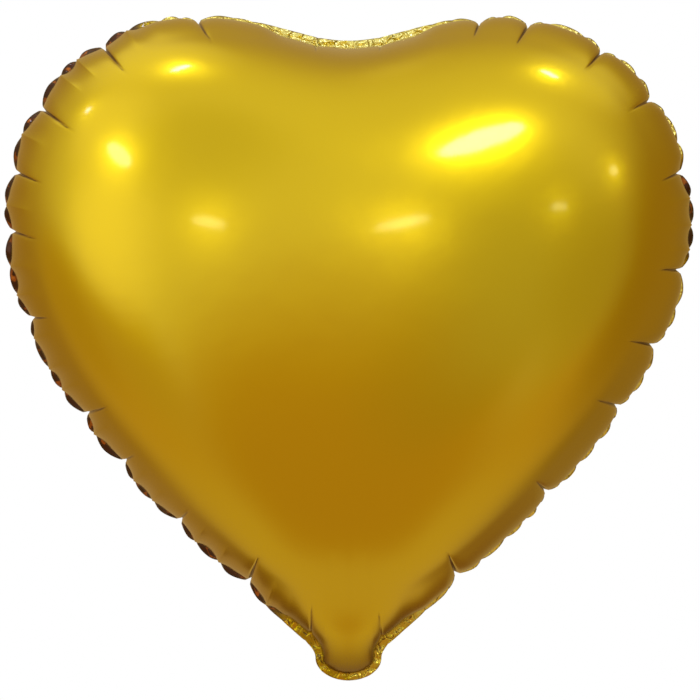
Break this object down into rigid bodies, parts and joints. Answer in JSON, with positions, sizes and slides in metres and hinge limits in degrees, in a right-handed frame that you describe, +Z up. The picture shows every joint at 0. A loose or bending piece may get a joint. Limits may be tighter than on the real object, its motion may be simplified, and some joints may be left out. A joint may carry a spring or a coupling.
{
  "type": "heart-shaped foil balloon",
  "caption": "Inflated heart-shaped foil balloon with a puckered heat-sealed rim, a short tail and a flat self-sealing valve inside the neck.",
  "frame": {"origin": "middle of the neck, in the plane of the seam, where a ribbon is tied", "axes": "+X to the right across the heart, +Y to the back, +Z up from the tail to the lobes; the front faces -Y"},
  "size_m": [0.3818, 0.168, 0.368],
  "materials": {
    "gold_foil": "satin metallised film, gold lacquer over vapour-deposited aluminium",
    "clear_film": "clear polyethylene film",
    "release_coat": "matt printed heat-resistant coat"
  },
  "bodies": {
    "root": {"front_foil": "gold_foil", "back_foil": "gold_foil", "valve_front_film": "clear_film", "valve_back_film": "clear_film", "valve_release_coat": "release_coat"}
  },
  "joints": []
}
